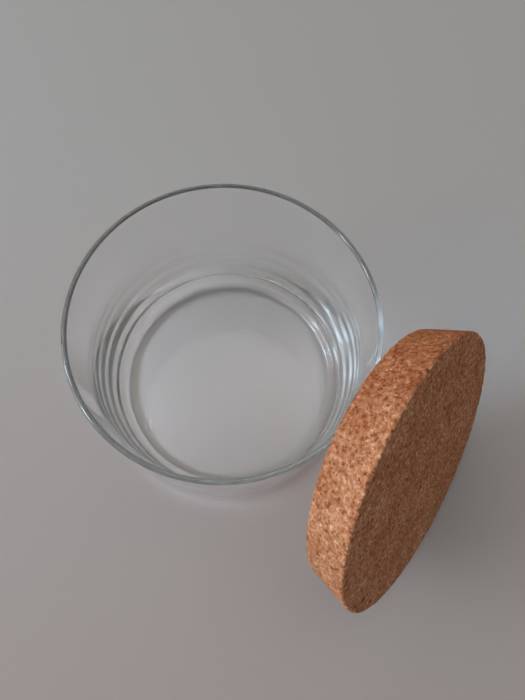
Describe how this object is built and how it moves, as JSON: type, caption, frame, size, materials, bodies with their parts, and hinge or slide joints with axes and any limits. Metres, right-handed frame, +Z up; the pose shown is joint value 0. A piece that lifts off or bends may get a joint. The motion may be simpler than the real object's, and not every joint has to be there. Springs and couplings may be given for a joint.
{
  "type": "jar",
  "caption": "Straight-sided round glass storage jar with a thick base, and its tapered cork lid leaning on the rim.",
  "frame": {"origin": "middle of the jar's foot ring, level with the table that the jar and the lid stand on", "axes": "+Z up the jar's axis, +X towards the lid that leans on the rim, +Y across"},
  "size_m": [0.1975, 0.1314, 0.1192],
  "materials": {
    "clear_glass": "polished",
    "cork": "matte"
  },
  "bodies": {
    "jar": {"glass_jar": "clear_glass"},
    "lid": {"cork_lid": "cork"}
  },
  "joints": [
    {"name": "lid_lift", "type": "slide", "parent": "jar", "child": "lid", "axis": [0, 0, 1], "range_m": [0, 0.12]}
  ]
}
